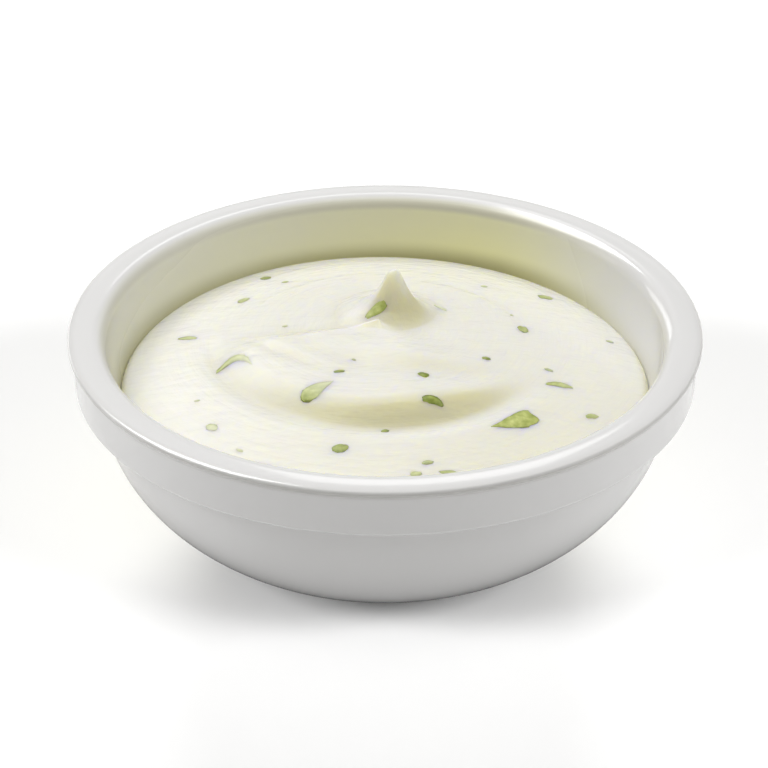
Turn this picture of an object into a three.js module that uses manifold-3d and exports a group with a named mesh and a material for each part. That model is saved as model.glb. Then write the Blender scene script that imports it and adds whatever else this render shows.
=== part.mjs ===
// A small round dip bowl of white glazed ceramic, filled with a pale cheese dip.
// The dip is domed, swirled round with a spoon and pulled up to one peak, and chopped herb lies on it.
// Millimetres, +Z up. The origin is on the table, under the middle of the bowl.

import * as THREE from 'three';
import { mergeVertices } from 'three/addons/utils/BufferGeometryUtils.js';
import Module from 'manifold-3d';

const wasm = await Module();
wasm.setup();

const DEGREE = Math.PI / 180;
const TURN = Math.PI * 2;

// ---------------------------------------------------------------- driving dimensions

const SEGMENTS = 64;              // facets round the bowl and the dip

// bowl, outside
const RIM_RADIUS = 55;            // a 110 mm bowl
const BOWL_HEIGHT = 41.5;
const BAND_HEIGHT = 9.7;          // the upright band under the rim
const BAND_TAPER = 3.3 * DEGREE;  // the band leans in on its way down
const CROWN_SLOPE = 12 * DEGREE;  // the rim's top bends down to this slope on its way out to the lip
const LIP_ROUND = 0.5;
const OVERHANG = 0.75;            // the lip stands proud of the band under it
const OVERHANG_DROP = 1.2;
const BAND_ROUND = 1.1;           // lower edge of the band
const LEDGE = 4.0;                // how far the body steps in under the band
const BELLY_FLAT = 9.9;           // radius of the level middle of the belly's curve
const BELLY_POWER = 1.96;         // 2 makes the belly's curve an ellipse
const FOOT_RADIUS = 20;           // low plain foot
const FOOT_ROUND = 0.5;

// bowl, inside
const MOUTH_RADIUS = 48.5;
const MOUTH_ROUND = 2.75;         // inner edge of the rim
const FLOOR_DEPTH = 36.5;         // the inside's depth under the rim
const FLOOR_FLAT = 8;
const FLOOR_POWER = 2;

// dip
const GAP = 0.4;                  // between the dip and the glaze
const SHOULDER_DEPTH = 10.6;      // top of the dip's rounded edge, under the rim
const SHOULDER_ROUND = 1.2;       // the dip's edge turns down to the glaze
const EDGE_DROP = 0.8;            // the dip's edge lies highest at the back and this much lower elsewhere
const EDGE_HIGH_AT = 112 * DEGREE;
const DOME_RISE = 4.8;            // from the edge to the middle of the swirl
const PEAK_AT = new THREE.Vector2(2.1, 15.5);
const DOME_RINGS = 32;
const RING_CROWDING = 1.15;       // over 1 draws the rings in towards the peak
const SHOULDER_REACH = 1.9;       // the rings crowd together over this stretch at the edge
const SHOULDER_RINGS = 3;
const UNDER_RINGS = 7;

// peak: a cone on a low pad, with a flank that runs out to the left
const PEAK_HEIGHT = 8.2;
const PEAK_WIDTH = 2.7;
const PEAK_SHARPNESS = 1.4;       // 1 makes a straight-sided cone's tip, 2 a round one
const FLANK_HEIGHT = 3.0;
const FLANK_REACH = 11;
const FLANK_POWER = 1.1;          // 1 makes its ridge run down straight, more makes it sag
const FLANK_START = 2;            // it grows out of the cone over this radius
const FLANK_BEARING = 168 * DEGREE;
const FLANK_FRONT = 1.25;         // radians over which the flank dies away to the front
const FLANK_BACK = 0.5;           // and to the back
const PAD_AT = new THREE.Vector2(0.3, 16.6);
const PAD_HEIGHT = 0.7;
const PAD_RADIUS = 9;
const PAD_POWER = 2.5;            // 2 makes a dome of the pad, more a flatter one with a steeper edge

// Spoon strokes, in degrees. Each follows a curve round its middle, counterclockwise from one bearing to
// another, and drifts in by so much a degree. It presses a groove along the curve and lifts a terrace inside it,
// over its run and down again over its tail.
const STROKES = [
  { middle: [-1.1, 10.1], radius: 29.4, drift: 0.018, start: 180, stop: 340, fade: [18, 60],
    depth: 0.55, width: 2.2, lift: 1.35, run: 7.0, tail: 24 },
  { middle: [-1.1, 10.1], radius: 30.6, drift: 0, start: 244, stop: 336, fade: [35, 45],
    depth: 0.35, width: 2.4, lift: 0.55, run: 4.2, tail: 14 },
  { middle: [13.5, 32.5], radius: 41.8, drift: -0.035, start: 206, stop: 296, fade: [55, 46],
    depth: 0.20, width: 3.0, lift: 0.95, run: 6.5, tail: 11 },
];

// Chopped herb: where each piece lies seen from above, its length and width, its turn in degrees, how pointed
// one end is and how bent it is.
const HERB_RISE = 0.25;           // above the dip
const HERB_SUNK = 0.3;            // and below its surface
const HERB_CORNERS = 8;
const HERBS = [
  { at: [22.2, -18.4], size: [8.9, 3.7], turn: 31, taper: -0.6, bend: -0.1 },
  { at: [-11.8, -11.4], size: [6.9, 2.9], turn: 44, taper: 0.5, bend: 0.1 },
  { at: [-26.3, 1.5], size: [6.4, 2.0], turn: -3, taper: 0.1, bend: 0.6 },
  { at: [-1.7, 12.2], size: [3.9, 1.9], turn: 20, taper: -0.1, bend: 0.1 },
  { at: [30.3, -5.7], size: [4.5, 1.5], turn: -6, taper: 0.2, bend: 0.1 },
  { at: [-20.7, -30.8], size: [4.0, 1.2], turn: -10, taper: 0.3, bend: 0.1 },
  { at: [8.2, -15.2], size: [3.8, 1.7], turn: -12, taper: 0.1, bend: 0.1 },
  { at: [-34.8, 12.2], size: [3.5, 1.3], turn: -14, taper: 0, bend: 0.1 },
  { at: [10.6, -33.5], size: [3.3, 1.4], turn: -8, taper: -0.4, bend: 0 },
  { at: [-7.6, -27.0], size: [2.9, 2.2], turn: 20, taper: 0, bend: 0 },
  { at: [6.7, -7.6], size: [2.1, 1.6], turn: -50, taper: 0, bend: 0 },
  { at: [28.8, 28.1], size: [2.7, 2.0], turn: 8, taper: 0, bend: 0 },
  { at: [24.4, 12.2], size: [2.6, 1.7], turn: -60, taper: 0, bend: 0 },
  { at: [-25.4, 25.0], size: [2.5, 1.5], turn: 40, taper: 0, bend: 0 },
  { at: [-29.5, -18.6], size: [2.4, 1.8], turn: -50, taper: 0, bend: 0 },
  { at: [35.5, -14.1], size: [2.2, 1.4], turn: 18, taper: 0, bend: 0 },
  { at: [-21.6, 35.1], size: [2.0, 1.8], turn: 0, taper: 0, bend: 0 },
  { at: [7.2, -30.9], size: [2.0, 1.1], turn: 15, taper: 0, bend: 0 },
  { at: [5.2, -34.0], size: [2.0, 1.2], turn: 12, taper: 0, bend: 0 },
  { at: [-7.9, -6.1], size: [2.0, 0.9], turn: 8, taper: 0, bend: 0 },
];

// ---------------------------------------------------------------- bowl

// Radius of a hollow or a belly whose side is upright at the top and level at the bottom.
// fall runs from 0 at the top to 1 at the bottom.
function roundedSide(fall, radius, flat, power) {
  return flat + (radius - flat) * (1 - fall ** power) ** (1 / power);
}

// The inner wall's radius at a depth under the rim, or that of a shape that lies inside it.
function wallRadius(depth, inset) {
  return roundedSide(depth / (FLOOR_DEPTH - inset), MOUTH_RADIUS - inset, FLOOR_FLAT, FLOOR_POWER);
}

// Evenly bent steps from 0 to 1, crowded towards 1.
function easedStep(index, count) {
  return Math.sin(index / count * Math.PI / 2);
}

function arc(middleRadius, middleHeight, radius, from, to, steps) {
  const points = [];
  for (let i = 0; i <= steps; i += 1) {
    const angle = from + (to - from) * i / steps;
    points.push(new THREE.Vector2(
      middleRadius + radius * Math.cos(angle),
      middleHeight + radius * Math.sin(angle),
    ));
  }
  return points;
}

function bellyCurve(bodyRadius, bodyTop, steps) {
  const share = (FOOT_RADIUS - BELLY_FLAT) / (bodyRadius - BELLY_FLAT);
  const lowestFall = (1 - share ** BELLY_POWER) ** (1 / BELLY_POWER);
  const points = [];
  for (let i = 0; i <= steps; i += 1) {
    const fall = lowestFall * easedStep(steps - i, steps);
    points.push(new THREE.Vector2(
      roundedSide(fall, bodyRadius, BELLY_FLAT, BELLY_POWER),
      bodyTop * (1 - fall),
    ));
  }
  return points;
}

function wallCurve(steps) {
  const points = [];
  for (let i = 1; i <= steps; i += 1) {
    const depth = MOUTH_ROUND + (FLOOR_DEPTH - MOUTH_ROUND) * easedStep(i, steps);
    points.push(new THREE.Vector2(wallRadius(depth, 0), BOWL_HEIGHT - depth));
  }
  return points;
}

// From the top of the band's side, out under the lip, round it and up over the rim's crown to its crest.
function lipCurve(crestRadius, underSteps, roundSteps, crownSteps) {
  const crownWidth = RIM_RADIUS - LIP_ROUND * (1 - Math.sin(CROWN_SLOPE)) - crestRadius;
  const crownDrop = Math.tan(CROWN_SLOPE) * crownWidth / 2;
  const widest = BOWL_HEIGHT - crownDrop - LIP_ROUND * Math.cos(CROWN_SLOPE);
  const slope = Math.tan(BAND_TAPER) * OVERHANG_DROP;
  const points = [];
  for (let i = 0; i < underSteps; i += 1) {
    const share = i / underSteps;
    const out = OVERHANG * THREE.MathUtils.smoothstep(share, 0, 1) + slope * share * (1 - share) ** 2;
    points.push(new THREE.Vector2(RIM_RADIUS - OVERHANG + out, widest - OVERHANG_DROP * (1 - share)));
  }
  points.push(...arc(RIM_RADIUS - LIP_ROUND, widest, LIP_ROUND, 0, Math.PI / 2 - CROWN_SLOPE, roundSteps));
  for (let i = 1; i <= crownSteps; i += 1) {
    const share = 1 - i / crownSteps;
    points.push(new THREE.Vector2(crestRadius + crownWidth * share, BOWL_HEIGHT - crownDrop * share ** 2));
  }
  return points;
}

function bowlProfile() {
  const bandBottom = BOWL_HEIGHT - BAND_HEIGHT;
  const lip = lipCurve(wallRadius(MOUTH_ROUND, 0) + MOUTH_ROUND, 3, 3, 3);
  const bandSide = lip[0].y - bandBottom - BAND_ROUND;
  const bandRadius = lip[0].x - bandSide * Math.tan(BAND_TAPER);
  const crestRadius = lip[lip.length - 1].x;
  return [
    new THREE.Vector2(0, 0),
    ...arc(FOOT_RADIUS - FOOT_ROUND, FOOT_ROUND, FOOT_ROUND, -Math.PI / 2, 0, 2),
    ...bellyCurve(bandRadius - LEDGE, bandBottom, 12),
    ...arc(bandRadius - BAND_ROUND, bandBottom + BAND_ROUND, BAND_ROUND, -Math.PI / 2, -BAND_TAPER, 3),
    ...lip,
    ...arc(crestRadius, BOWL_HEIGHT - MOUTH_ROUND, MOUTH_ROUND, Math.PI / 2, Math.PI, 5).slice(1),
    ...wallCurve(9),
    new THREE.Vector2(0, BOWL_HEIGHT - FLOOR_DEPTH),
  ];
}

function makeBowl() {
  const geometry = new THREE.LatheGeometry(bowlProfile(), SEGMENTS);
  geometry.rotateX(Math.PI / 2);
  const glaze = new THREE.MeshStandardMaterial({ color: 0xf1f0ed, roughness: 0.15, metalness: 0 });
  const bowl = new THREE.Mesh(geometry, glaze);
  bowl.name = 'bowl';
  return bowl;
}

// ---------------------------------------------------------------- dip surface

const CONTACT_DEPTH = SHOULDER_DEPTH + SHOULDER_ROUND;
const DIP_RADIUS = wallRadius(CONTACT_DEPTH, GAP);

// How far the dip's edge lies under its highest place.
function edgeDrop(angle) {
  return EDGE_DROP * (1 - Math.max(0, Math.cos(angle - EDGE_HIGH_AT)) ** 2);
}

function edgeRadius(angle) {
  return wallRadius(CONTACT_DEPTH + edgeDrop(angle), GAP);
}

// The swirl has rings like ripples from an off-middle drop. Each is nearly a circle, from the peak out to the
// wall. spot runs from 0 at the peak to 1 at the wall.
function ringPoint(spot, angle) {
  return new THREE.Vector2(Math.cos(angle), Math.sin(angle))
    .multiplyScalar(edgeRadius(angle) * spot)
    .addScaledVector(PEAK_AT, 1 - spot);
}

function spotOf(point) {
  const fromPeak = point.clone().sub(PEAK_AT);
  const room = edgeRadius(Math.atan2(point.y, point.x)) ** 2 - PEAK_AT.lengthSq();
  const along = fromPeak.dot(PEAK_AT);
  return (along + Math.sqrt(along ** 2 + room * fromPeak.lengthSq())) / room;
}

// Rise of the dome above the dip's edge, with the edge itself rounded down to the glaze.
function dome(point) {
  const spot = spotOf(point);
  const angle = Math.atan2(point.y, point.x);
  const rise = DOME_RISE * (1 - spot ** 2) - edgeDrop(angle) * spot ** 4;
  const toWall = Math.max(0, edgeRadius(angle) - point.length());
  const onRound = Math.max(0, 1 - toWall / SHOULDER_ROUND);
  return rise - SHOULDER_ROUND * (1 - Math.sqrt(1 - onRound ** 2));
}

// The smallest turn from one bearing to another, in radians from -PI to PI.
function turnBetween(from, to) {
  return THREE.MathUtils.euclideanModulo(to - from + Math.PI, TURN) - Math.PI;
}

function spoonStroke(stroke, point) {
  const dx = point.x - stroke.middle[0];
  const dy = point.y - stroke.middle[1];
  const bearing = Math.atan2(dy, dx) / DEGREE;
  const along = THREE.MathUtils.euclideanModulo(bearing - stroke.start, 360);
  const left = stroke.stop - stroke.start - along;
  const [fadeIn, fadeOut] = stroke.fade;
  const strength = THREE.MathUtils.smoothstep(along, 0, fadeIn) * THREE.MathUtils.smoothstep(left, 0, fadeOut);
  const inside = stroke.radius + stroke.drift * along - Math.hypot(dx, dy);
  const groove = stroke.depth * Math.exp(-((inside / stroke.width) ** 2));
  const tail = Math.exp(-((Math.max(0, inside - stroke.run) / stroke.tail) ** 2));
  const terrace = stroke.lift * THREE.MathUtils.smoothstep(inside, 0, stroke.run) * tail;
  return strength * (terrace - groove);
}

function peak(point) {
  const fromPeak = point.clone().sub(PEAK_AT);
  const away = fromPeak.length();
  const cone = PEAK_HEIGHT * Math.exp(-((away / PEAK_WIDTH) ** PEAK_SHARPNESS));
  const turn = turnBetween(FLANK_BEARING, Math.atan2(fromPeak.y, fromPeak.x));
  const fade = turn > 0 ? turn / FLANK_FRONT : turn / FLANK_BACK;
  const ridge = FLANK_HEIGHT * Math.max(0, 1 - away / FLANK_REACH) ** FLANK_POWER;
  const flank = ridge * Math.exp(-(fade ** 2)) * THREE.MathUtils.smoothstep(away, 0, FLANK_START);
  const onPad = Math.min(1, point.distanceTo(PAD_AT) / PAD_RADIUS);
  return cone + flank + PAD_HEIGHT * (1 - onPad ** PAD_POWER);
}

function dipHeight(point) {
  const strokes = STROKES.reduce((sum, stroke) => sum + spoonStroke(stroke, point), 0);
  return BOWL_HEIGHT - SHOULDER_DEPTH + dome(point) + strokes + peak(point);
}

// ---------------------------------------------------------------- dip solid

// The rings of the dip, from under its middle, out along the glaze, and over the top in to the peak.
function dipRings() {
  const rings = [];
  const floorDepth = FLOOR_DEPTH - GAP;
  for (let i = 0; i < UNDER_RINGS; i += 1) {
    const share = easedStep(UNDER_RINGS - i, UNDER_RINGS);
    rings.push((angle) => {
      const edgeDepth = CONTACT_DEPTH + edgeDrop(angle);
      const depth = edgeDepth + (floorDepth - edgeDepth) * share;
      const radius = wallRadius(depth, GAP);
      return new THREE.Vector3(radius * Math.cos(angle), radius * Math.sin(angle), BOWL_HEIGHT - depth);
    });
  }
  const shoulderSpot = 1 - SHOULDER_REACH / DIP_RADIUS;
  const spots = [];
  for (let i = 0; i < SHOULDER_RINGS; i += 1) {
    spots.push(shoulderSpot + (1 - shoulderSpot) * easedStep(SHOULDER_RINGS - i, SHOULDER_RINGS));
  }
  for (let i = DOME_RINGS; i > 0; i -= 1) {
    spots.push(shoulderSpot * (i / DOME_RINGS) ** RING_CROWDING);
  }
  spots.forEach((spot) => rings.push((angle) => {
    const point = ringPoint(spot, angle);
    return new THREE.Vector3(point.x, point.y, dipHeight(point));
  }));
  return rings;
}

// Closes a stack of rings of SEGMENTS points each with a point at either end.
function closedRings(first, rings, last) {
  const positions = [first.x, first.y, first.z];
  rings.forEach((ring) => {
    for (let j = 0; j < SEGMENTS; j += 1) {
      positions.push(...ring(j / SEGMENTS * TURN).toArray());
    }
  });
  positions.push(last.x, last.y, last.z);
  const at = (i, j) => 1 + i * SEGMENTS + j % SEGMENTS;
  const index = [];
  for (let j = 0; j < SEGMENTS; j += 1) {
    index.push(0, at(0, j + 1), at(0, j));
    for (let i = 0; i < rings.length - 1; i += 1) {
      index.push(at(i, j), at(i, j + 1), at(i + 1, j + 1));
      index.push(at(i, j), at(i + 1, j + 1), at(i + 1, j));
    }
    index.push(at(rings.length - 1, j), at(rings.length - 1, j + 1), at(rings.length, 0));
  }
  return indexedGeometry(positions, index);
}

function indexedGeometry(positions, index) {
  const geometry = new THREE.BufferGeometry();
  geometry.setAttribute('position', new THREE.Float32BufferAttribute(positions, 3));
  geometry.setIndex(index);
  return geometry;
}

// A leaf scrap draped on the dip: its underside is sunk in the dip and its top stands proud.
function herbGeometry(herb) {
  const [length, width] = herb.size;
  const rotation = herb.turn * DEGREE;
  const outline = [];
  for (let i = 0; i < HERB_CORNERS; i += 1) {
    const angle = i / HERB_CORNERS * TURN;
    const along = Math.cos(angle);
    const across = Math.sin(angle) * (1 - herb.taper * along);
    const bow = herb.bend * along ** 2 * length / 2;
    const corner = new THREE.Vector2(length / 2 * along, width / 2 * across - bow);
    outline.push(corner.rotateAround(new THREE.Vector2(), rotation).add(new THREE.Vector2(...herb.at)));
  }
  const middle = new THREE.Vector2(...herb.at);
  const positions = [];
  [-HERB_SUNK, HERB_RISE].forEach((offset) => {
    [middle, ...outline].forEach((point) => {
      positions.push(point.x, point.y, dipHeight(point) + offset);
    });
  });
  const top = HERB_CORNERS + 1;
  const index = [];
  for (let i = 0; i < HERB_CORNERS; i += 1) {
    const here = 1 + i;
    const next = 1 + (i + 1) % HERB_CORNERS;
    index.push(0, next, here);
    index.push(top, top + here, top + next);
    index.push(here, next, top + next);
    index.push(here, top + next, top + here);
  }
  return indexedGeometry(positions, index);
}

function solidOf(geometry) {
  geometry.deleteAttribute('normal');
  geometry.deleteAttribute('uv');
  const merged = mergeVertices(geometry, 1e-4);
  return new wasm.Manifold(new wasm.Mesh({
    numProp: 3,
    vertProperties: new Float32Array(merged.attributes.position.array),
    triVerts: new Uint32Array(merged.index.array),
  }));
}

function geometryOf(solid) {
  const mesh = solid.getMesh();
  const geometry = indexedGeometry([...mesh.vertProperties], [...mesh.triVerts]);
  geometry.computeVertexNormals();
  return geometry;
}

function makeDip() {
  const underMiddle = new THREE.Vector3(0, 0, BOWL_HEIGHT - FLOOR_DEPTH + GAP);
  const tip = new THREE.Vector3(PEAK_AT.x, PEAK_AT.y, dipHeight(PEAK_AT));
  let solid = solidOf(closedRings(underMiddle, dipRings(), tip));
  HERBS.forEach((herb) => {
    solid = solid.add(solidOf(herbGeometry(herb)));
  });
  const cream = new THREE.MeshStandardMaterial({ color: 0xeeeadb, roughness: 0.35, metalness: 0 });
  const dip = new THREE.Mesh(geometryOf(solid), cream);
  dip.name = 'dip';
  return dip;
}

const bowlOfDip = new THREE.Group();
bowlOfDip.add(makeBowl(), makeDip());

export default bowlOfDip;
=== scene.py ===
"""A small round dip bowl of white glazed ceramic, filled with a pale swirled cheese dip
with chopped herb on it."""
import math

import bpy
import numpy as np
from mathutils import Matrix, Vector


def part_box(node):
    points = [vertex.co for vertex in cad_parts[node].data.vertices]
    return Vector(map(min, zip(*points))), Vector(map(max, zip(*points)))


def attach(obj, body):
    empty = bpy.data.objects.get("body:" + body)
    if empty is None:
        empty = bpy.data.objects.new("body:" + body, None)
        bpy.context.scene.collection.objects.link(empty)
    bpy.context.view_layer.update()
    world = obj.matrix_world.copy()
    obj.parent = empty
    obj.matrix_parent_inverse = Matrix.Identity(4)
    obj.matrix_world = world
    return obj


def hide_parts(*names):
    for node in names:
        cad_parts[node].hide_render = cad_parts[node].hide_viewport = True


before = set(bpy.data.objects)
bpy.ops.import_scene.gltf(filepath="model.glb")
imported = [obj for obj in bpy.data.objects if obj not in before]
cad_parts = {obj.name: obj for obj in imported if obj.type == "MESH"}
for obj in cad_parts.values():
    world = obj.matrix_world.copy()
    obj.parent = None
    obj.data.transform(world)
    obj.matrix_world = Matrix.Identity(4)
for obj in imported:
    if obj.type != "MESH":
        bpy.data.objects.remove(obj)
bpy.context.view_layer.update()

MM = 0.001
DEGREE = math.pi / 180
TURN = 2 * math.pi

# ---------------------------------------------------------------- sizes

# bowl, outside
BOWL_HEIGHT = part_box("bowl")[1].z
RIM_RADIUS = 55 * MM
BAND_HEIGHT = 9.7 * MM
BAND_TAPER = 3.3 * DEGREE
CROWN_SLOPE = 12 * DEGREE          # the rim's top bends down to this slope on its way out to the lip
LIP_ROUND = 0.5 * MM
OVERHANG = 0.75 * MM               # the lip stands proud of the band under it
OVERHANG_DROP = 1.2 * MM
BAND_ROUND = 1.1 * MM
LEDGE = 4.0 * MM
LEDGE_FILLET = 0.5 * MM
BELLY_FLAT = 9.9 * MM
BELLY_POWER = 1.96
FOOT_RADIUS = 20 * MM
FOOT_ROUND = 0.5 * MM

# bowl, inside
MOUTH_RADIUS = 48.5 * MM
MOUTH_ROUND = 2.75 * MM
FLOOR_DEPTH = 36.5 * MM
FLOOR_FLAT = 8 * MM
FLOOR_POWER = 2
BOWL_SEGMENTS = 256
SEAM = 0.001 * MM                  # points this near each other are joined where the turned wall closes

# steps along each stretch of the bowl's section
SMALL_ROUND_STEPS = 6
BELLY_STEPS = 48
BAND_ROUND_STEPS = 12
LIP_STEPS = 8
CROWN_STEPS = 16
MOUTH_STEPS = 20
WALL_STEPS = 36

# dip
GAP = 0.4 * MM
INTO_WALL = 0.08 * MM              # the dip's edge wets the glaze
SHOULDER_DEPTH = 10.6 * MM
SHOULDER_ROUND = 1.2 * MM
SHOULDER_REACH = 1.9 * MM          # the rings crowd together over this stretch at the edge
CONTACT_DEPTH = SHOULDER_DEPTH + SHOULDER_ROUND
EDGE_DROP = 0.8 * MM               # the dip's edge lies highest at the back and this much lower elsewhere
EDGE_HIGH_AT = 112 * DEGREE
EDGE_DROP_POWER = 4                # the top bends down to the lower edge late on its way out from the peak
DOME_RISE = 4.8 * MM
PEAK_AT = (2.1 * MM, 15.5 * MM)
DIP_SEGMENTS = 288
DOME_RINGS = 296
RING_CROWDING = 1.1                # more than 1 crowds the rings towards the peak
SHOULDER_RINGS = 16
UNDER_RINGS = 14

# peak: a blunt cone on a low pad, with a flank that runs out to the left
PEAK_HEIGHT = 8.2 * MM
PEAK_WIDTH = 2.7 * MM
PEAK_SHARPNESS = 1.4               # 1 makes a straight-sided cone's tip, 2 a round one
FLANK_HEIGHT = 3.0 * MM
FLANK_REACH = 11.0 * MM
FLANK_POWER = 1.1                  # 1 makes its ridge run down straight, more makes it sag
FLANK_START = 2 * MM               # it grows out of the cone over this radius
FLANK_BEARING = 168 * DEGREE
FLANK_FRONT = 1.25                 # radians over which the flank dies away to the front
FLANK_BACK = 0.5                   # and to the back
PAD_AT = (0.3 * MM, 16.6 * MM)
PAD_HEIGHT = 0.7 * MM
PAD_RADIUS = 9.0 * MM
PAD_POWER = 2.5                    # 2 makes a dome of the pad, more a flatter one with a steeper edge

# Spoon strokes, in millimetres and degrees. Each follows a curve round its middle, counterclockwise from one
# bearing to another, and its radius grows by the drift for each degree. It presses a groove along the curve
# and lifts a terrace inside it, up over its run and down again over its tail.
STROKES = [
    {"middle": (-1.1, 10.1), "radius": 29.4, "drift": 0.018, "start": 180, "stop": 340, "fade": (18, 60),
     "depth": 0.55, "width": 2.2, "lift": 1.35, "run": 7.0, "tail": 24},
    {"middle": (-1.1, 10.1), "radius": 30.6, "drift": 0, "start": 244, "stop": 336, "fade": (35, 45),
     "depth": 0.35, "width": 2.4, "lift": 0.55, "run": 4.2, "tail": 14},
    {"middle": (13.5, 32.5), "radius": 41.8, "drift": -0.035, "start": 206, "stop": 296, "fade": (55, 46),
     "depth": 0.20, "width": 3.0, "lift": 0.95, "run": 6.5, "tail": 11},
    {"middle": (11.0, 32.6), "radius": 43.2, "drift": 0, "start": 211, "stop": 243, "fade": (10, 14),
     "depth": 0.16, "width": 1.1, "lift": 0.30, "run": 2.4, "tail": 4},
    {"middle": (2, 8), "radius": 22.4, "drift": 0, "start": -20, "stop": 95, "fade": (40, 30),
     "depth": 0.10, "width": 1.0, "lift": 0.05, "run": 1.0, "tail": 4},
    {"middle": (2, 8), "radius": 26.2, "drift": 0.04, "start": 85, "stop": 165, "fade": (25, 40),
     "depth": 0.09, "width": 1.0, "lift": 0.05, "run": 1.0, "tail": 4},
]

# the fine marks that the spoon left go round this place
SWIRL_MIDDLE = (-1.1 * MM, 10.1 * MM)

# painted shade: the dip's colour is deepened in hollows and on slopes turned to the right and the front, away
# from the key light
HOLLOW_REACH = 3.0 * MM            # a place is compared with a circle of spots this far round it
HOLLOW_SPOTS = 16
HOLLOW_DEPTH = 1.25 * MM
HOLLOW_WALL = 1.2                  # the bowl's wall counts as rising by this much for its distance
LEE_BEARING = -72 * DEGREE
LEE_SLOPE = 0.48
LEE_REACH = 0.1 * HOLLOW_REACH     # a slope is measured over this distance
JUST_INSIDE = 0.999                # keeps a compared spot this share of the way out to the edge
OFF_THE_EDGE = 0.9999              # and the dip's own points this share of their way from the axis
PALE_TIP = 3.6 * MM                # round the peak's tip it stays pale, free of the painted shade

# Chopped herb, in millimetres and degrees: place, length and width, turn, how pointed one end is, how bent,
# how deep its green is (0 pale to 1 deep), how far the dip covers it (0 bare to 1 hidden) and how much more
# of it is covered at one end than in the middle.
HERBS = [
    ((22.2, -18.4), (8.9, 3.7), 31, -0.80, -0.12, 0.40, 0.02, 0.00),
    ((-11.8, -11.4), (6.9, 2.9), 44, 0.60, 0.10, 0.50, 0.38, 0.42),
    ((-26.3, 1.5), (6.4, 2.0), -3, 0.10, 0.85, 0.45, 0.42, 0.35),
    ((-1.7, 12.2), (3.9, 1.9), 20, -0.15, 0.15, 0.50, 0.00, -0.05),
    ((30.3, -5.7), (4.5, 1.5), -6, 0.20, 0.15, 0.50, 0.18, 0.12),
    ((-20.7, -30.8), (4.0, 1.2), -10, 0.30, 0.10, 0.45, 0.60, 0.10),
    ((8.2, -15.2), (3.8, 1.7), -12, 0.15, 0.12, 0.85, 0.00, 0.08),
    ((-34.8, 12.2), (3.5, 1.3), -14, 0.05, 0.10, 0.55, 0.22, 0.05),
    ((10.6, -33.5), (3.3, 1.4), -8, -0.50, 0.00, 0.60, 0.20, 0.10),
    ((-7.6, -27.0), (2.9, 2.2), 20, 0.00, 0.00, 0.75, 0.08, 0.05),
    ((6.7, -7.6), (2.1, 1.6), -50, 0.10, 0.10, 0.95, 0.00, 0.00),
    ((28.8, 28.1), (2.7, 2.0), 8, 0.00, 0.05, 0.60, 0.20, 0.10),
    ((24.4, 12.2), (2.6, 1.7), -60, 0.10, 0.05, 0.65, 0.15, 0.10),
    ((-25.4, 25.0), (2.5, 1.5), 40, 0.10, 0.15, 0.60, 0.30, 0.10),
    ((-29.5, -18.6), (2.4, 1.8), -50, 0.10, 0.05, 0.50, 0.58, 0.10),
    ((35.5, -14.1), (2.2, 1.4), 18, 0.10, 0.10, 0.60, 0.22, 0.10),
    ((-21.6, 35.1), (2.0, 1.8), 0, 0.00, 0.00, 0.75, 0.08, 0.00),
    ((7.2, -30.9), (2.0, 1.1), 15, 0.00, 0.10, 0.60, 0.28, 0.00),
    ((5.2, -34.0), (2.0, 1.2), 12, 0.00, 0.05, 0.55, 0.30, 0.05),
    ((-7.9, -6.1), (2.0, 0.9), 8, 0.10, 0.10, 0.80, 0.10, 0.05),
    ((9.9, 17.7), (2.7, 0.8), -38, 0.00, 0.05, 0.40, 0.62, 0.05),
    ((28.5, -1.3), (1.7, 0.8), -25, 0.00, 0.05, 0.65, 0.35, 0.10),
    ((17.6, 0.0), (1.6, 1.1), 0, 0.00, 0.05, 0.90, 0.10, 0.00),
    ((39.8, 13.0), (1.4, 0.9), 0, 0.00, 0.00, 0.55, 0.45, 0.00),
    ((0.0, -21.2), (1.5, 1.0), 10, 0.00, 0.05, 0.80, 0.05, 0.00),
    ((17.8, 29.2), (1.3, 1.0), 10, 0.00, 0.00, 0.55, 0.45, 0.00),
    ((-18.0, 31.7), (1.3, 1.0), 10, 0.00, 0.05, 0.65, 0.30, 0.00),
    ((-17.6, 12.2), (1.1, 0.7), 5, 0.00, 0.00, 0.55, 0.60, 0.00),
    ((-32.4, -10.0), (1.1, 0.6), 5, 0.00, 0.00, 0.50, 0.75, 0.00),
    ((-24.6, -26.0), (1.5, 0.6), -40, 0.00, 0.00, 0.50, 0.70, 0.00),
    ((22.5, 17.4), (0.8, 0.6), -45, 0.00, 0.00, 0.55, 0.60, 0.00),
    ((-5.4, -2.2), (0.9, 0.5), -30, 0.00, 0.00, 0.65, 0.40, 0.00),
]
HERB_COLUMNS = ("turn", "taper", "bend", "tone", "cover", "fade")
HERB_RISE = 0.2 * MM
HERB_SUNK = 0.3 * MM
HERB_RAGGED = 0.42
HERB_APART = (900, 900, 0)         # scales a scrap's place, so that each scrap is ragged in its own way
HERB_SEED = 3.0
HERB_SEGMENTS = 24
HERB_RINGS = 10
DROPPED_FROM = 100 * MM            # each scrap is dropped on the dip from this height
DROPPED_BY = 1.0
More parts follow.
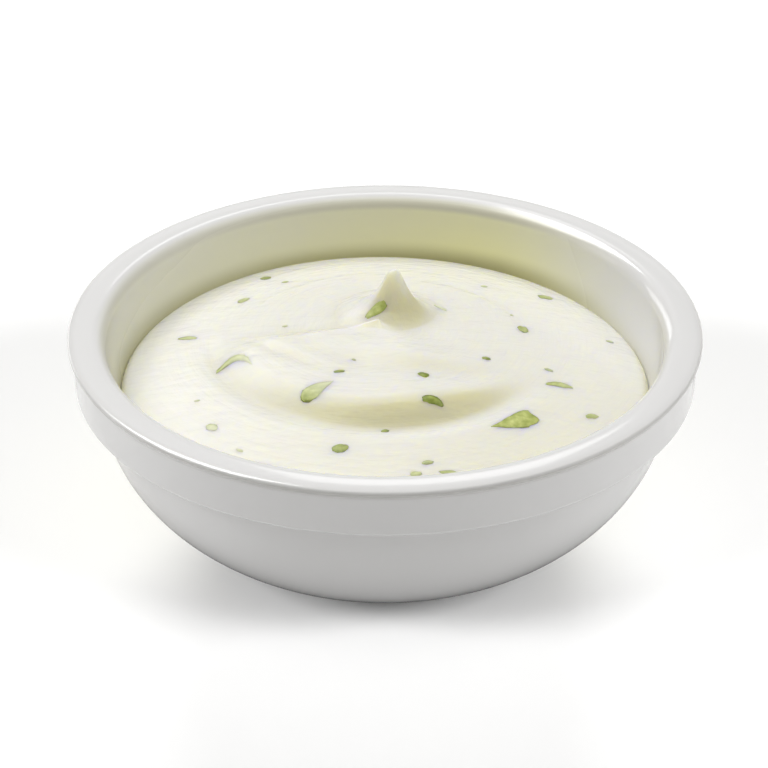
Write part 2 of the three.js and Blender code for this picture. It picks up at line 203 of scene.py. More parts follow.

# Film of the dip on the glaze: it roughens the gloss, and its tint is painted shade and painted bounce light
# from the dip. Across the bowl and from its front to its back it grows from the first place to the second.
FILM_TOP = 0.60                    # how thick it is at the rim
FILM_LOW = 1.0                     # and down at the dip
FILM_MOUTH_FADE = 1.9 * MM
FILM_FLOOR_FADE = 1 * MM
FILM_LEFT = (-48 * MM, 15 * MM)
FILM_LEFT_LEAST = 0.35
FILM_RIGHT = (47 * MM, 20 * MM)
FILM_BACK = (-25 * MM, 10 * MM)
FILM_THINNEST = 0.85               # its slow unevenness goes up from this
FILM_UNEVEN = 0.3                  # by this much
RIM_SHADE_DEPTH = 1.2 * MM         # a line of painted shade along the film's upper edge, under the rim
RIM_SHADE_WIDTH = 1.3 * MM
CONTACT_SHADE_FADE = 4 * MM             # the painted shade over the dip's edge fades out this far above it
CONTACT_SHADE_WIDTH = 0.5 * MM

# painted shade: a soft darker line in the glaze under the lip
LIP_LINE_DEPTH = 1.25 * MM
LIP_LINE_WIDTH = 1.2 * MM
LIP_LINE_STRENGTH = 0.6
LIP_LINE_FROM = RIM_RADIUS - 1.6 * MM    # only outside the bowl
LIP_LINE_TO = RIM_RADIUS - 1.0 * MM
LINE_CORE = 0.2 * MM               # a soft line is at its full strength this far to both sides

# glaze
GLAZE_SHADES = ((0.75, 0.745, 0.74, 1), (0.77, 0.765, 0.76, 1))
GLAZE_WAVES = 45.0
GLAZE_WAVE_HEIGHT = 0.4 * MM
GLAZE_ROUGHNESS = 0.11
FILM_ROUGHNESS = 0.50              # what a full film adds to it
# painted light in the glaze's colour: a tint of shade and of the dip's bounced light, shade just over the
# dip, shade under the rim, and shade under the lip
BOUNCE_TINT = (0.83, 0.81, 0.40, 1)
CONTACT_SHADE_TINT = (0.42, 0.40, 0.20, 1)
RIM_SHADE_TINT = (0.42, 0.40, 0.36, 1)
LIP_SHADE_TINT = (0.42, 0.41, 0.38, 1)

# dip
CREAM_SHADES = ((0.81, 0.80, 0.74, 1), (0.83, 0.82, 0.765, 1))
# painted shade in the dip's hollows and on slopes turned from the key light
DIP_SHADE_TINT = (0.70, 0.67, 0.46, 1)
CREAM_GRAIN = {"Slow Scale": 90.0, "Fine Scale": 1500.0}
CREAM_GRAIN_HEIGHT = 0.05 * MM
MARK_HEIGHT = 0.16 * MM
RIPPLE_HEIGHT = 0.26 * MM
RIPPLE_STRETCH = (0.45, 1.0, 1.0)  # less than 1 draws the ripples out from left to right
CREAM_SOFTNESS = 4.0 * MM          # how far light spreads in it

# herb
LEAF_GREENS = ((0.60, 0.635, 0.24, 1), (0.37, 0.42, 0.10, 1), (0.20, 0.25, 0.035, 1))
LEAF_MIDDLE_AT = 0.55
LEAF_VEIL = (0.80, 0.81, 0.64, 1)
LEAF_GRAIN = {"Slow Scale": 900.0, "Fine Scale": 2500.0}
LEAF_GRAIN_HEIGHT = 0.05 * MM
LEAF_MOTTLE = (1.4, -0.8)          # its slow grain, times the first and plus the second, changes its green
LEAF_EDGE = 0.25                   # and its edge is this much deeper

# camera
CAMERA_AT = (-0.17 * MM, -666.1 * MM, 410.1 * MM)
CAMERA_PITCH = 60.3 * DEGREE
CAMERA_NEAREST = 50 * MM
LENS = 206.0
SENSOR = 36

# Floor. What it throws back on the dish, from under the middle outwards and from the front to the back: a
# painted shadow under the bowl and painted shade in front of it, in the light it bounces only.
FLOOR_HALF = 3.0
FLOOR_SHADES = ((0.95, 0.95, 0.95, 1), (0.97, 0.97, 0.97, 1))
GLOW_UNDER = 0.08
GLOW_ROUND = 0.98
GLOW_ROUND_REACH = (22 * MM, 75 * MM)
GLOW_FRONT = 0.77
GLOW_FRONT_REACH = (-75 * MM, -5 * MM)

# lights
LIGHTS_AIM = Vector((0, 0, 30 * MM))
ROOM_LIGHT = (0.15, 0.148, 0.14, 1)


# ---------------------------------------------------------------- nodes

def add_node(tree, kind, inputs=None, **settings):
    """A node with its settings, and each input linked to an output socket or set to a value."""
    node = tree.nodes.new(kind)
    for key, value in settings.items():
        setattr(node, key, value)
    for key, value in (inputs or {}).items():
        if isinstance(value, bpy.types.NodeSocket):
            tree.links.new(value, node.inputs[key])
        else:
            node.inputs[key].default_value = value
    return node


def calculate(tree, operation, *values, clamp=False):
    node = add_node(tree, "ShaderNodeMath", dict(enumerate(values)), operation=operation, use_clamp=clamp)
    return node.outputs[0]


def product(tree, first, *others):
    for other in others:
        first = calculate(tree, "MULTIPLY", first, other)
    return first


def distance_from_axis(tree, x, y):
    return calculate(tree, "SQRT", calculate(tree, "ADD", product(tree, x, x), product(tree, y, y)))


def vectors(tree, operation, first, second):
    return add_node(tree, "ShaderNodeVectorMath", {0: first, 1: second}, operation=operation).outputs[0]


def separate(tree, vector):
    return add_node(tree, "ShaderNodeSeparateXYZ", {0: vector}).outputs


def map_range(tree, value, start, stop, low=0.0, high=1.0, smooth=True):
    """Goes from low to high as the value goes from start to stop, and eases in and out where it is smooth."""
    return add_node(tree, "ShaderNodeMapRange", {
        "Value": value, "From Min": start, "From Max": stop, "To Min": low, "To Max": high,
    }, interpolation_type="SMOOTHSTEP" if smooth else "LINEAR").outputs[0]


def mix_colours(tree, factor, first, second):
    """The first colour where the factor is 0, and the second where it is 1."""
    mix = add_node(tree, "ShaderNodeMix", {"Factor": factor, "A": first, "B": second}, data_type="RGBA")
    return mix.outputs["Result"]


def new_group(name, kind, inputs, outputs):
    """A node group with these sockets, (name, type, value) each, or (name, type) for an output. Returns it,
    with what its inputs give and what its outputs take, both by name."""
    group = bpy.data.node_groups.new(name, kind)
    for label, socket_type, value in inputs:
        socket = group.interface.new_socket(label, in_out="INPUT", socket_type=socket_type)
        if value is not None:
            socket.default_value = value
    for label, socket_type in outputs:
        group.interface.new_socket(label, in_out="OUTPUT", socket_type=socket_type)
    start = group.nodes.new("NodeGroupInput")
    end = group.nodes.new("NodeGroupOutput")
    return group, start.outputs, end.inputs


def use_tree(piece, tree, values):
    """Runs a Geometry Nodes tree on the piece with these values for its named inputs, and keeps the result as
    the piece's plain mesh."""
    modifier = piece.modifiers.new(tree.name, "NODES")
    modifier.node_group = tree
    for item in tree.interface.items_tree:
        if item.in_out == "INPUT" and item.name in values:
            modifier[item.identifier] = values[item.name]
    evaluated = piece.evaluated_get(bpy.context.evaluated_depsgraph_get())
    mesh = bpy.data.meshes.new_from_object(evaluated)
    piece.modifiers.remove(modifier)
    piece.data = mesh
    mesh.name = piece.name


def new_material(name):
    """An empty material with its Principled shader. Returns the material, its tree and the shader."""
    material = bpy.data.materials.new(name)
    material.use_nodes = True
    return material, material.node_tree, material.node_tree.nodes["Principled BSDF"]


def new_piece(name, points, faces=(), edges=()):
    mesh = bpy.data.meshes.new(name)
    mesh.from_pydata(points, edges, faces)
    piece = bpy.data.objects.new(name, mesh)
    bpy.context.scene.collection.objects.link(piece)
    return piece


# ---------------------------------------------------------------- materials

def object_place(tree):
    return add_node(tree, "ShaderNodeTexCoord").outputs["Object"]


def attribute_value(tree, name):
    return add_node(tree, "ShaderNodeAttribute", attribute_name=name).outputs["Fac"]


def bumped(tree, height, strength, distance, under=None):
    """The normal of a surface with this height on it, on top of the bump under it where there is one."""
    inputs = {"Height": height, "Strength": strength, "Distance": distance}
    if under is not None:
        inputs["Normal"] = under
    return add_node(tree, "ShaderNodeBump", inputs).outputs["Normal"]


def uneven_group():
    """Slow and fine unevenness over a surface, from 0 to 1, both on Object coordinates."""
    group, given, result = new_group(
        "Uneven surface", "ShaderNodeTree",
        [("Slow Scale", "NodeSocketFloat", 60.0), ("Fine Scale", "NodeSocketFloat", 600.0)],
        [("Slow", "NodeSocketFloat"), ("Fine", "NodeSocketFloat")],
    )
    place = object_place(group)
    for label in ("Slow", "Fine"):
        noise = add_node(group, "ShaderNodeTexNoise", {
            "Vector": place, "Scale": given[label + " Scale"], "Detail": 3.0, "Roughness": 0.5,
        })
        group.links.new(noise.outputs["Fac"], result[label])
    return group


def painted_bounce_and_film_mask(tree, place, away, slow):
    """How strongly the glaze is roughened and tinted with painted shade and painted bounce light from the
    dip,
    from 0 to 1: most at the back of the inner wall and low down. It goes by distance from the axis, so it
    also tints the outside of the belly at the back."""
    bottom, contact = BOWL_HEIGHT - FLOOR_DEPTH, BOWL_HEIGHT - CONTACT_DEPTH
    masks = [
        map_range(tree, away, MOUTH_RADIUS + FILM_MOUTH_FADE, MOUTH_RADIUS),
        map_range(tree, place["Z"], BOWL_HEIGHT, contact, FILM_TOP, FILM_LOW, smooth=False),
        map_range(tree, place["X"], *FILM_LEFT, FILM_LEFT_LEAST, smooth=False),
        map_range(tree, place["X"], *FILM_RIGHT),
        map_range(tree, place["Y"], *FILM_BACK),
        map_range(tree, place["Z"], bottom, bottom + FILM_FLOOR_FADE, smooth=False),
    ]
    film = calculate(tree, "MULTIPLY_ADD", slow, FILM_UNEVEN, FILM_THINNEST)
    for mask in masks:
        film = calculate(tree, "MULTIPLY", film, mask, clamp=True)
    return film


def level_line(tree, height, depth, width, strength=1.0):
    """A soft line round the bowl at a depth under the rim, from 0 beside it to its strength on it."""
    off_it = calculate(tree, "ABSOLUTE", calculate(tree, "SUBTRACT", height, BOWL_HEIGHT - depth))
    return map_range(tree, off_it, width, LINE_CORE, high=strength)


def make_glaze(uneven):
    """White ceramic under a clear gloss glaze with a faint waviness. It has the dip's film on it, which
    roughens it and is tinted with painted shade and painted bounce light from the dip, with darker painted
    shade just over the dip and along the film's edge under the rim, and a soft line of painted shade under
    the lip."""
    material, tree, shader = new_material("white glaze")
    slow = add_node(tree, "ShaderNodeGroup", {"Slow Scale": GLAZE_WAVES}, node_tree=uneven).outputs["Slow"]
    place = separate(tree, object_place(tree))
    away = distance_from_axis(tree, place["X"], place["Y"])
    film = painted_bounce_and_film_mask(tree, place, away, slow)
    contact = BOWL_HEIGHT - CONTACT_DEPTH
    painted_contact_shade = map_range(tree, place["Z"], contact + CONTACT_SHADE_FADE, contact + CONTACT_SHADE_WIDTH)
    painted_rim_shade = level_line(tree, place["Z"], RIM_SHADE_DEPTH, RIM_SHADE_WIDTH)
    painted_lip_shade = level_line(tree, place["Z"], LIP_LINE_DEPTH, LIP_LINE_WIDTH, LIP_LINE_STRENGTH)
    outside = map_range(tree, away, LIP_LINE_FROM, LIP_LINE_TO, smooth=False)
    # the film's tint and the lines over the dip, under the rim and under the lip are painted shade and bounce
    # light
    colour = mix_colours(tree, slow, *GLAZE_SHADES)
    colour = mix_colours(tree, film, colour, BOUNCE_TINT)
    colour = mix_colours(tree, product(tree, film, painted_contact_shade), colour, CONTACT_SHADE_TINT)
    colour = mix_colours(tree, product(tree, film, painted_rim_shade), colour, RIM_SHADE_TINT)
    colour = mix_colours(tree, product(tree, painted_lip_shade, outside), colour, LIP_SHADE_TINT)
    tree.links.new(colour, shader.inputs["Base Color"])
    tree.links.new(bumped(tree, slow, 0.06, GLAZE_WAVE_HEIGHT), shader.inputs["Normal"])
    roughness = calculate(tree, "MULTIPLY_ADD", film, FILM_ROUGHNESS, GLAZE_ROUGHNESS)
    tree.links.new(roughness, shader.inputs["Roughness"])
    shader.inputs["IOR"].default_value = 1.52
    return material


def swirl_marks_group():
    """Fine curved marks that a spoon leaves round the middle of its swirl, and small ripples, from 0 to 1."""
    group, given, result = new_group(
        "Swirl marks", "ShaderNodeTree",
        [("Middle X", "NodeSocketFloat", 0.0), ("Middle Y", "NodeSocketFloat", 0.0),
         ("Marks across", "NodeSocketFloat", 900.0), ("Marks along", "NodeSocketFloat", 2.0),
         ("Ripple Scale", "NodeSocketFloat", 500.0)],
        [("Marks", "NodeSocketFloat"), ("Ripples", "NodeSocketFloat")],
    )
    place = object_place(group)
    parts = separate(group, place)
    x = calculate(group, "SUBTRACT", parts["X"], given["Middle X"])
    y = calculate(group, "SUBTRACT", parts["Y"], given["Middle Y"])
    bearing = calculate(group, "ARCTAN2", y, x)
    round_it = add_node(group, "ShaderNodeCombineXYZ", {
        "X": product(group, calculate(group, "COSINE", bearing), given["Marks along"]),
        "Y": product(group, calculate(group, "SINE", bearing), given["Marks along"]),
        "Z": product(group, distance_from_axis(group, x, y), given["Marks across"]),
    }).outputs[0]
    marks = add_node(group, "ShaderNodeTexNoise", {
        "Vector": round_it, "Scale": 1.0, "Detail": 3.0, "Roughness": 0.6,
    })
    group.links.new(marks.outputs["Fac"], result["Marks"])
    ripples = add_node(group, "ShaderNodeTexNoise", {
        "Vector": vectors(group, "MULTIPLY", place, RIPPLE_STRETCH), "Scale": given["Ripple Scale"],
        "Detail": 2.0, "Roughness": 0.5,
    })
    group.links.new(ripples.outputs["Fac"], result["Ripples"])
    return group


def make_cream(uneven, swirl_marks):
    """Thick pale cheese dip: soft, a little translucent, wet on top."""
    material, tree, shader = new_material("cheese dip")
    grain = add_node(tree, "ShaderNodeGroup", CREAM_GRAIN, node_tree=uneven).outputs
    cream = mix_colours(tree, grain["Slow"], *CREAM_SHADES)
    # painted shade: hollows and slopes turned from the key light get a darker, yellower tint
    cream_with_painted_shade = mix_colours(tree, attribute_value(tree, "rich"), cream, DIP_SHADE_TINT)
    tree.links.new(cream_with_painted_shade, shader.inputs["Base Color"])
    swirl = add_node(tree, "ShaderNodeGroup", {
        "Middle X": SWIRL_MIDDLE[0], "Middle Y": SWIRL_MIDDLE[1],
    }, node_tree=swirl_marks).outputs
    fine = bumped(tree, grain["Fine"], 0.12, CREAM_GRAIN_HEIGHT)
    marked = bumped(tree, swirl["Marks"], 0.8, MARK_HEIGHT, fine)
    tree.links.new(bumped(tree, swirl["Ripples"], 0.8, RIPPLE_HEIGHT, marked), shader.inputs["Normal"])
    shader.inputs["Roughness"].default_value = 0.22
    shader.inputs["IOR"].default_value = 1.42
    shader.inputs["Subsurface Weight"].default_value = 1.0
    shader.inputs["Subsurface Radius"].default_value = (1.0, 0.9, 0.3)
    shader.inputs["Subsurface Scale"].default_value = CREAM_SOFTNESS
    return material


def make_leaf(uneven):
    """Chopped green herb, each scrap with its own tone, under more or less of the dip."""
    material, tree, shader = new_material("chopped herb")
    grain = add_node(tree, "ShaderNodeGroup", LEAF_GRAIN, node_tree=uneven).outputs
    mottle = calculate(tree, "MULTIPLY_ADD", grain["Slow"], *LEAF_MOTTLE)
    rimmed = calculate(tree, "MULTIPLY_ADD", attribute_value(tree, "edge"), LEAF_EDGE, mottle)
    depth = calculate(tree, "ADD", attribute_value(tree, "tone"), rimmed, clamp=True)
    ramp = add_node(tree, "ShaderNodeValToRGB", {"Fac": depth})
    pale, middle, deep = LEAF_GREENS
    ramp.color_ramp.elements[0].color = pale
    ramp.color_ramp.elements[1].color = deep
    ramp.color_ramp.elements.new(LEAF_MIDDLE_AT).color = middle
    veiled = mix_colours(tree, attribute_value(tree, "cover"), ramp.outputs["Color"], LEAF_VEIL)
    tree.links.new(veiled, shader.inputs["Base Color"])
    tree.links.new(bumped(tree, grain["Fine"], 0.2, LEAF_GRAIN_HEIGHT), shader.inputs["Normal"])
    shader.inputs["Roughness"].default_value = 0.35
    return material


def make_ground():
    """Plain pale floor. It is seen lit to white, but it throws light back on the dish as a greyer floor
    would, and least from underneath, where a painted shadow darkens it, and less from the front, where
    painted shade darkens it."""
    material, tree, shader = new_material("pale floor")
    place = object_place(tree)
    grain = add_node(tree, "ShaderNodeTexNoise", {"Vector": place, "Scale": 3.0}).outputs["Fac"]
    pale = mix_colours(tree, grain, *FLOOR_SHADES)
    away = add_node(tree, "ShaderNodeVectorMath", {0: place}, operation="LENGTH").outputs["Value"]
    # painted shadow under the bowl and painted shade in front, in the colour the dish sees
    round_glow = map_range(tree, away, *GLOW_ROUND_REACH, GLOW_UNDER, GLOW_ROUND)
    front_glow = map_range(tree, separate(tree, place)["Y"], *GLOW_FRONT_REACH, GLOW_FRONT)
    seen = add_node(tree, "ShaderNodeLightPath").outputs["Is Camera Ray"]
    colour = mix_colours(tree, seen, product(tree, round_glow, front_glow), pale)
    tree.links.new(colour, shader.inputs["Base Color"])
    shader.inputs["Roughness"].default_value = 0.9
    shader.inputs["Specular IOR Level"].default_value = 0.0
    return material


# ---------------------------------------------------------------- bowl

def rounded_side(fall, radius, flat, power):
    """Radius of a hollow or a belly, upright at the top (fall 0) and level at the bottom (fall 1)."""
    return flat + (radius - flat) * (1 - fall ** power) ** (1 / power)


def wall_radius(depth, inset):
    """The inner wall's radius at a depth under the rim, or that of a shape that lies inside it."""
    return rounded_side(depth / (FLOOR_DEPTH - inset), MOUTH_RADIUS - inset, FLOOR_FLAT, FLOOR_POWER)


def eased_step(index, count):
    """Evenly bent steps from 0 to 1, crowded towards 1."""
    return math.sin(index / count * math.pi / 2)


def arc(middle_radius, middle_height, radius, start, stop, steps):
    angles = [start + (stop - start) * i / steps for i in range(steps + 1)]
    return [(middle_radius + radius * math.cos(a), middle_height + radius * math.sin(a)) for a in angles]


def belly_curve(body_radius, body_top, steps):
    share = (FOOT_RADIUS - BELLY_FLAT) / (body_radius - BELLY_FLAT)
    lowest_fall = (1 - share ** BELLY_POWER) ** (1 / BELLY_POWER)
    falls = [lowest_fall * eased_step(steps - i, steps) for i in range(steps + 1)]
    radii = [rounded_side(fall, body_radius, BELLY_FLAT, BELLY_POWER) for fall in falls]
    return [(radius, body_top * (1 - fall)) for radius, fall in zip(radii, falls)]


def wall_curve(steps):
    depths = [MOUTH_ROUND + (FLOOR_DEPTH - MOUTH_ROUND) * eased_step(i, steps) for i in range(1, steps + 1)]
    return [(wall_radius(depth, 0), BOWL_HEIGHT - depth) for depth in depths]


def lip_curve(crest_radius, under_steps, round_steps, crown_steps):
    """From the top of the band's side, out under the lip, round it and up over the rim's crown to its crest,
    with so many steps under the lip, round it and over the crown."""
    crown_width = RIM_RADIUS - LIP_ROUND * (1 - math.sin(CROWN_SLOPE)) - crest_radius
    crown_drop = math.tan(CROWN_SLOPE) * crown_width / 2
    widest = BOWL_HEIGHT - crown_drop - LIP_ROUND * math.cos(CROWN_SLOPE)
    slope = math.tan(BAND_TAPER) * OVERHANG_DROP
    points = []
    for i in range(under_steps):
        share = i / under_steps
        out = OVERHANG * share * share * (3 - 2 * share) + slope * share * (1 - share) ** 2
        points.append((RIM_RADIUS - OVERHANG + out, widest - OVERHANG_DROP * (1 - share)))
    points += arc(RIM_RADIUS - LIP_ROUND, widest, LIP_ROUND, 0, math.pi / 2 - CROWN_SLOPE, round_steps)
    for i in range(1, crown_steps + 1):
        share = 1 - i / crown_steps
        points.append((crest_radius + crown_width * share, BOWL_HEIGHT - crown_drop * share ** 2))
    return points


def bowl_profile():
    """The bowl's half section as (radius, height) points, from the axis under the foot, up the outside, over
    the rim and down the inside to the axis again."""
    band_bottom = BOWL_HEIGHT - BAND_HEIGHT
    lip = lip_curve(wall_radius(MOUTH_ROUND, 0) + MOUTH_ROUND, LIP_STEPS, LIP_STEPS, CROWN_STEPS)
    band_side = lip[0][1] - band_bottom - BAND_ROUND
    band_radius = lip[0][0] - band_side * math.tan(BAND_TAPER)
    body_radius = band_radius - LEDGE
    quarter = math.pi / 2
    foot = arc(FOOT_RADIUS - FOOT_ROUND, FOOT_ROUND, FOOT_ROUND, -quarter, 0, SMALL_ROUND_STEPS)
    ledge = arc(body_radius + LEDGE_FILLET, band_bottom - LEDGE_FILLET, LEDGE_FILLET,
                math.pi, quarter, SMALL_ROUND_STEPS)
    band_foot = arc(band_radius - BAND_ROUND, band_bottom + BAND_ROUND, BAND_ROUND,
                    -quarter, -BAND_TAPER, BAND_ROUND_STEPS)
    mouth = arc(lip[-1][0], BOWL_HEIGHT - MOUTH_ROUND, MOUTH_ROUND, quarter, math.pi, MOUTH_STEPS)
    return [
        (0, 0),
        *foot,
        *belly_curve(body_radius, band_bottom - LEDGE_FILLET, BELLY_STEPS),
        *ledge[1:],
        *band_foot,
        *lip,
        *mouth[1:],
        *wall_curve(WALL_STEPS),
        (0, BOWL_HEIGHT - FLOOR_DEPTH),
    ]


def turning_tree():
    """Turns a line of points in the XZ plane, from axis to axis, round Z into one closed smooth wall."""
    tree, given, result = new_group(
        "Turned on the wheel", "GeometryNodeTree",
        [
            ("Section", "NodeSocketGeometry", None),
            ("Segments", "NodeSocketInt", 64),
            ("Seam", "NodeSocketFloat", SEAM),
            ("Finish", "NodeSocketMaterial", None),
        ],
        [("Wall", "NodeSocketGeometry")],
    )
    section = given["Section"]
    corners = add_node(tree, "GeometryNodeAttributeDomainSize", {"Geometry": section}).outputs["Point Count"]
    columns = calculate(tree, "ADD", given["Segments"], 1)
    sheet = add_node(tree, "GeometryNodeMeshGrid", {
        "Vertices X": corners, "Vertices Y": columns,
    }).outputs["Mesh"]
    index = add_node(tree, "GeometryNodeInputIndex").outputs[0]
    corner = calculate(tree, "FLOOR", calculate(tree, "DIVIDE", index, columns))
    column = calculate(tree, "SUBTRACT", index, product(tree, corner, columns))
    angle = product(tree, calculate(tree, "DIVIDE", column, given["Segments"]), TURN)
    place = add_node(tree, "GeometryNodeSampleIndex", {
        "Geometry": section,
        "Value": add_node(tree, "GeometryNodeInputPosition").outputs[0],
        "Index": corner,
    }, data_type="FLOAT_VECTOR").outputs["Value"]
    turned = add_node(tree, "ShaderNodeVectorRotate", {
        "Vector": place, "Angle": angle,
    }, rotation_type="Z_AXIS")
    wall = add_node(tree, "GeometryNodeSetPosition", {"Geometry": sheet, "Position": turned.outputs[0]})
    closed = add_node(tree, "GeometryNodeMergeByDistance", {
        "Geometry": wall.outputs[0], "Distance": given["Seam"],
    })
    smooth = add_node(tree, "GeometryNodeSetShadeSmooth", {"Geometry": closed.outputs[0]})
    real = add_node(tree, "GeometryNodeRealizeInstances", {"Geometry": smooth.outputs[0]})
    glazed = add_node(tree, "GeometryNodeSetMaterial", {
        "Geometry": real.outputs[0], "Material": given["Finish"],
    })
    tree.links.new(glazed.outputs[0], result["Wall"])
    return tree


def make_bowl(glaze):
    points = [(radius, 0, height) for radius, height in bowl_profile()]
    edges = [(i, i + 1) for i in range(len(points) - 1)]
    bowl = new_piece("turned_bowl", points, edges=edges)
    use_tree(bowl, turning_tree(), {"Segments": BOWL_SEGMENTS, "Seam": SEAM, "Finish": glaze})
    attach(bowl, "root")
    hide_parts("bowl")
    return bowl


# ---------------------------------------------------------------- dip

DIP_RADIUS = wall_radius(CONTACT_DEPTH, -INTO_WALL)


def edge_drop(angle):
    """How far the dip's edge lies under its highest place."""
    return EDGE_DROP * (1 - np.maximum(0, np.cos(angle - EDGE_HIGH_AT)) ** 2)


def edge_radius(angle):
    return wall_radius(CONTACT_DEPTH + edge_drop(angle), -INTO_WALL)


def ring_point(spot, angle):
    """The swirl's rings are nearly circles, from the peak (spot 0) out to the wall (spot 1)."""
    radius = edge_radius(angle)
    x = radius * spot * np.cos(angle) + PEAK_AT[0] * (1 - spot)
    y = radius * spot * np.sin(angle) + PEAK_AT[1] * (1 - spot)
    return x, y


def spot_of(x, y):
    """Where a place lies between the peak (0) and the wall (1): the inverse of ring_point."""
    px, py = PEAK_AT
    qx, qy = x - px, y - py
    room = edge_radius(np.arctan2(y, x)) ** 2 - px ** 2 - py ** 2
    along = qx * px + qy * py
    return (along + np.sqrt(along ** 2 + room * (qx ** 2 + qy ** 2))) / room


def dome(x, y):
    """Rise above the dip's edge, with the edge itself rounded down to the glaze."""
    spot = spot_of(x, y)
    angle = np.arctan2(y, x)
    rise = DOME_RISE * (1 - spot ** 2) - edge_drop(angle) * spot ** EDGE_DROP_POWER
    to_wall = np.maximum(0, edge_radius(angle) - np.hypot(x, y))
    on_round = np.maximum(0, 1 - to_wall / SHOULDER_ROUND)
    return rise - SHOULDER_ROUND * (1 - np.sqrt(1 - on_round ** 2))


def turn_between(start, stop):
    """The smallest turn from one bearing to another, in radians from -pi to pi."""
    return np.mod(stop - start + math.pi, TURN) - math.pi


def smooth_step(share):
    share = np.clip(share, 0, 1)
    return share * share * (3 - 2 * share)


def spoon_stroke(stroke, x, y):
    """What one stroke adds to the dip's height at a place."""
    dx = x / MM - stroke["middle"][0]
    dy = y / MM - stroke["middle"][1]
    along = np.mod(np.degrees(np.arctan2(dy, dx)) - stroke["start"], 360)
    left = stroke["stop"] - stroke["start"] - along
    fade_in, fade_out = stroke["fade"]
    strength = smooth_step(along / fade_in) * smooth_step(left / fade_out)
    inside = stroke["radius"] + stroke["drift"] * along - np.hypot(dx, dy)
    groove = stroke["depth"] * np.exp(-((inside / stroke["width"]) ** 2))
    tail = np.exp(-((np.maximum(0, inside - stroke["run"]) / stroke["tail"]) ** 2))
    terrace = stroke["lift"] * smooth_step(inside / stroke["run"]) * tail
    return strength * (terrace - groove) * MM


def peak(x, y):
    """What the peak, its flank and its pad add to the dip's height at a place."""
    dx, dy = x - PEAK_AT[0], y - PEAK_AT[1]
    away = np.hypot(dx, dy)
    cone = PEAK_HEIGHT * np.exp(-((away / PEAK_WIDTH) ** PEAK_SHARPNESS))
    turn = turn_between(FLANK_BEARING, np.arctan2(dy, dx))
    fade = np.where(turn > 0, turn / FLANK_FRONT, turn / FLANK_BACK)
    flank = FLANK_HEIGHT * np.maximum(0, 1 - away / FLANK_REACH) ** FLANK_POWER * np.exp(-fade ** 2)
    flank *= smooth_step(away / FLANK_START)
    on_pad = np.minimum(1, np.hypot(x - PAD_AT[0], y - PAD_AT[1]) / PAD_RADIUS)
    return cone + flank + PAD_HEIGHT * (1 - on_pad ** PAD_POWER)


def dip_height(x, y):
    strokes = sum(spoon_stroke(stroke, x, y) for stroke in STROKES)
    return BOWL_HEIGHT - SHOULDER_DEPTH + dome(x, y) + strokes + peak(x, y)


def dip_shade_share(x, y):
    """How much painted shade deepens the dip's colour, from 0 to 1: in a hollow, by its depth under the mean
    height on a circle round it, and on a slope turned to the right and the front, away from the key light, by
    how steep it is."""
    height = dip_height(x, y)
    around = np.zeros_like(x)
    fall = np.zeros_like(x)
    for i in range(HOLLOW_SPOTS):
        angle = i / HOLLOW_SPOTS * TURN
        ax, ay = x + HOLLOW_REACH * math.cos(angle), y + HOLLOW_REACH * math.sin(angle)
        away = np.hypot(ax, ay)
        edge = edge_radius(np.arctan2(ay, ax))
        inward = np.minimum(1, JUST_INSIDE * edge / away)
        wall_rise = np.maximum(0, away - edge) * HOLLOW_WALL
        around += dip_height(ax * inward, ay * inward) + wall_rise
        nx, ny = x + LEE_REACH * math.cos(angle), y + LEE_REACH * math.sin(angle)
        inward = np.minimum(1, JUST_INSIDE * edge_radius(np.arctan2(ny, nx)) / np.hypot(nx, ny))
        slope = (height - dip_height(nx * inward, ny * inward)) / LEE_REACH
        fall += slope * math.cos(angle - LEE_BEARING) * 2 / HOLLOW_SPOTS
    hollow = np.clip((around / HOLLOW_SPOTS - height) / HOLLOW_DEPTH, 0, 1)
    lee = smooth_step(fall / LEE_SLOPE)
    under_tip = smooth_step(np.hypot(x - PEAK_AT[0], y - PEAK_AT[1]) / PALE_TIP)
    return (1 - (1 - hollow) * (1 - lee)) * under_tip


def dip_rings():
    """Rings of points, from under the dip's middle, out along the glaze, and over the top in to the peak."""
    angles = np.arange(DIP_SEGMENTS) / DIP_SEGMENTS * TURN
    rings = []
    floor_depth = FLOOR_DEPTH - GAP
    edge_depth = CONTACT_DEPTH + edge_drop(angles)
    for i in range(UNDER_RINGS):
        depth = edge_depth + (floor_depth - edge_depth) * eased_step(UNDER_RINGS - i, UNDER_RINGS)
        radius = wall_radius(depth, GAP)
        rings.append((radius * np.cos(angles), radius * np.sin(angles), BOWL_HEIGHT - depth))
    shoulder_spot = 1 - SHOULDER_REACH / DIP_RADIUS
    spots = [shoulder_spot + (1 - shoulder_spot) * eased_step(SHOULDER_RINGS - i, SHOULDER_RINGS)
             for i in range(SHOULDER_RINGS)]
    spots += [shoulder_spot * (i / DOME_RINGS) ** RING_CROWDING for i in range(DOME_RINGS, 0, -1)]
    for spot in spots:
        x, y = ring_point(spot, angles)
        rings.append((x, y, dip_height(x, y)))
    return [np.stack(ring, axis=1) for ring in rings]


